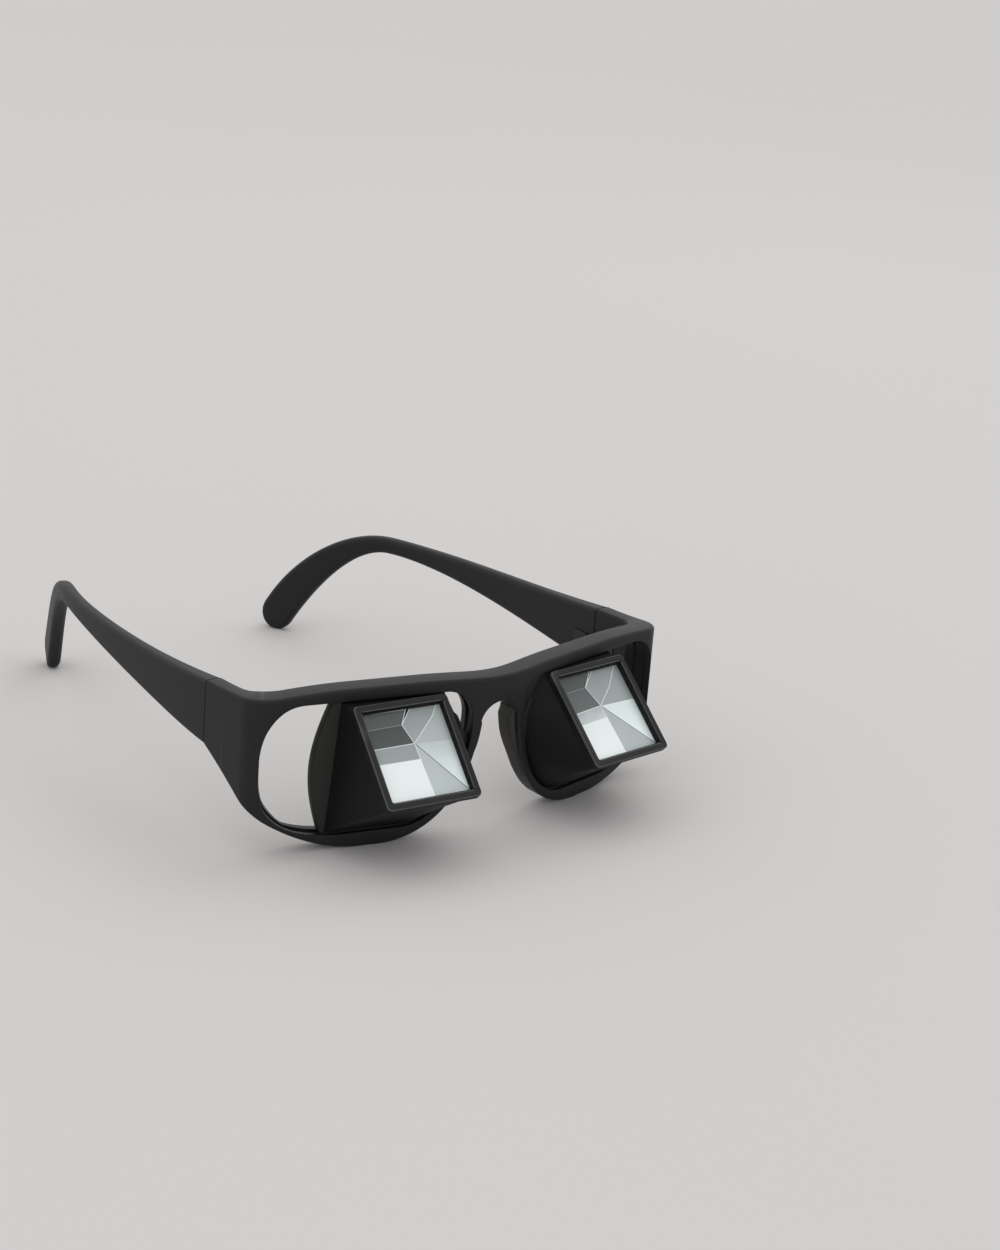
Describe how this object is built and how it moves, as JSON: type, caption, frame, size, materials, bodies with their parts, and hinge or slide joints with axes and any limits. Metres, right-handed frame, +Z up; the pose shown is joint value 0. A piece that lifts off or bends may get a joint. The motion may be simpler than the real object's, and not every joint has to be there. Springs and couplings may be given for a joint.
{
  "type": "belay glasses",
  "caption": "Prism spectacles that turn the line of sight upwards: moulded frame with folding temples, and a prism in a sloped hood before each eye.",
  "frame": {"origin": "middle of the base of the whole object's box, where it rests on its rims and temple tips", "axes": "+Z up, -Y the way the wearer faces, +X the wearer's left"},
  "size_m": [0.1404, 0.1923, 0.045],
  "materials": {
    "frame_plastic": "matte black moulded plastic",
    "hood_plastic": "fine-textured matte black moulded plastic",
    "pad_rubber": "soft matt black pad",
    "hinge_steel": "stamped steel",
    "screw_steel": "turned steel",
    "prism_glass": "polished optical glass",
    "mirror_silver": "aluminised mirror plate",
    "gasket_rubber": "matt black rubber"
  },
  "bodies": {
    "front": {"front_frame": "frame_plastic", "left_nose_pad": "pad_rubber", "right_nose_pad": "pad_rubber", "left_front_hinge": "hinge_steel", "right_front_hinge": "hinge_steel", "left_hinge_screw": "screw_steel", "right_hinge_screw": "screw_steel", "left_prism_carrier": "hood_plastic", "right_prism_carrier": "hood_plastic", "left_prism_hood": "hood_plastic", "right_prism_hood": "hood_plastic", "left_prism": "prism_glass", "right_prism": "prism_glass", "left_mirror_plate": "mirror_silver", "right_mirror_plate": "mirror_silver", "left_prism_gasket": "gasket_rubber", "right_prism_gasket": "gasket_rubber"},
    "left_arm": {"left_temple": "frame_plastic", "left_temple_hinge": "hinge_steel"},
    "right_arm": {"right_temple": "frame_plastic", "right_temple_hinge": "hinge_steel"}
  },
  "joints": [
    {"name": "left_temple_fold", "type": "hinge", "parent": "front", "child": "left_arm", "pos_m": [0.0632, -0.04002, 0.03032], "axis": [0, 0, 1], "range_deg": [0, 84]},
    {"name": "right_temple_fold", "type": "hinge", "parent": "front", "child": "right_arm", "pos_m": [-0.0632, -0.04002, 0.03032], "axis": [0, 0, -1], "range_deg": [0, 75]}
  ]
}
